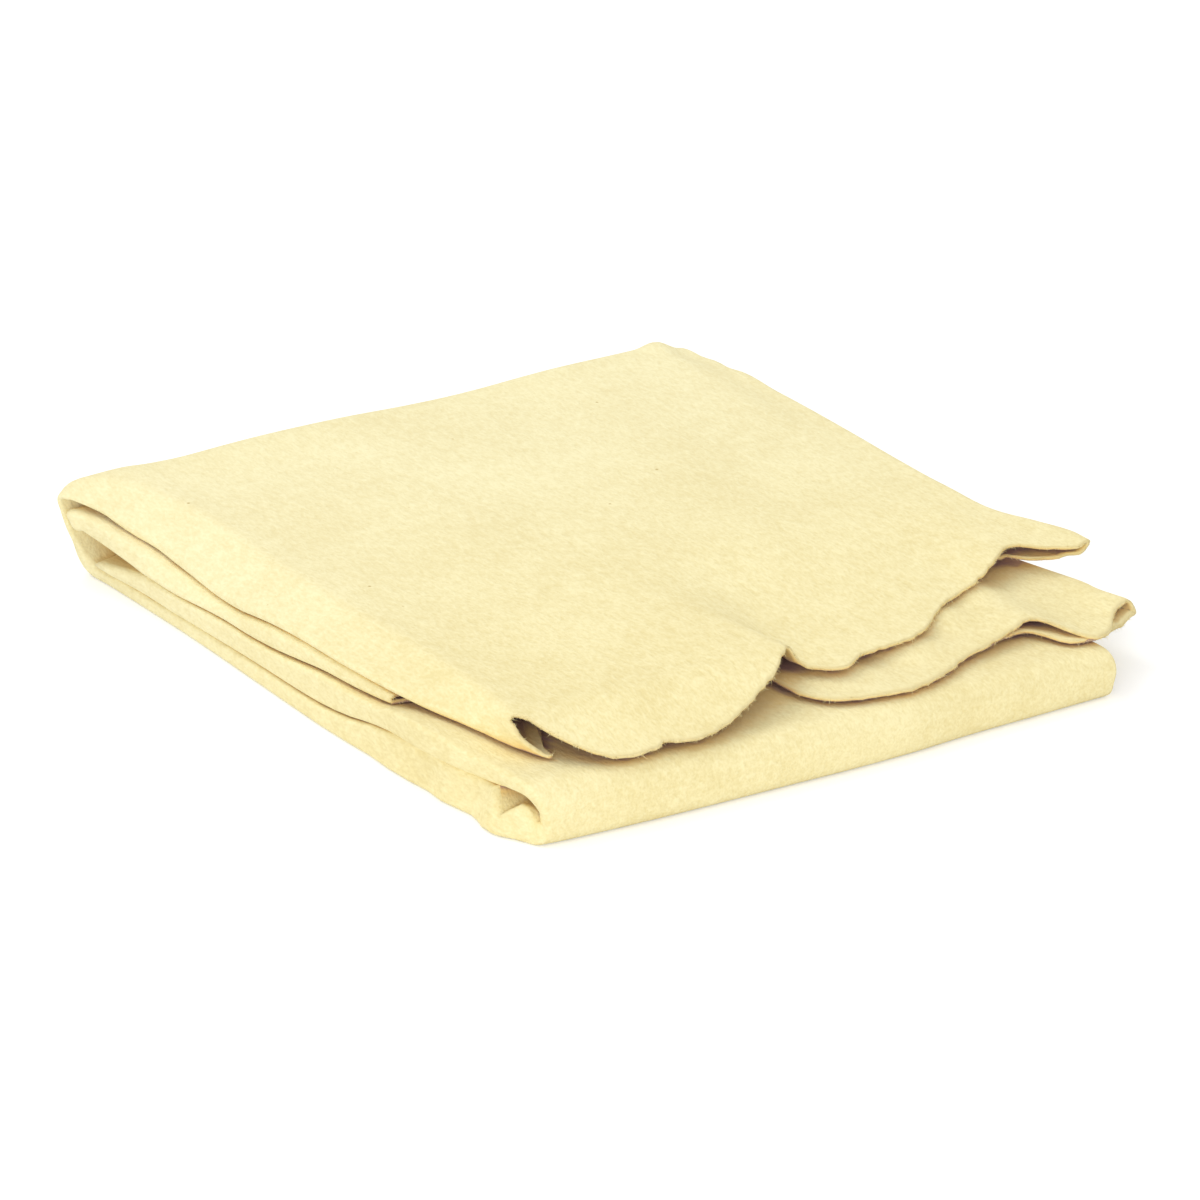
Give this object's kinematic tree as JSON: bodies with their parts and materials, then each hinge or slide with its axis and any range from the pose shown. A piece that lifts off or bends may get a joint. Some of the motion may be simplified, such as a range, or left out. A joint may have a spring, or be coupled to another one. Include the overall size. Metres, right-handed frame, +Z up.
{
  "type": "chamois leather",
  "caption": "Soft undyed suede hide for wiping and drying, folded over and over into a flat square pad with its raw ends fanned out at one corner.",
  "frame": {"origin": "middle of the folded pad's footprint, on the floor", "axes": "+X along the smooth front fold towards the loose tips, +Y from the smooth front fold towards the back folds, +Z up"},
  "size_m": [0.1924, 0.2066, 0.0253],
  "materials": {
    "suede": "matt, napped on both faces, pale cream yellow"
  },
  "bodies": {
    "root": {"chamois_hide": "suede"}
  },
  "joints": []
}
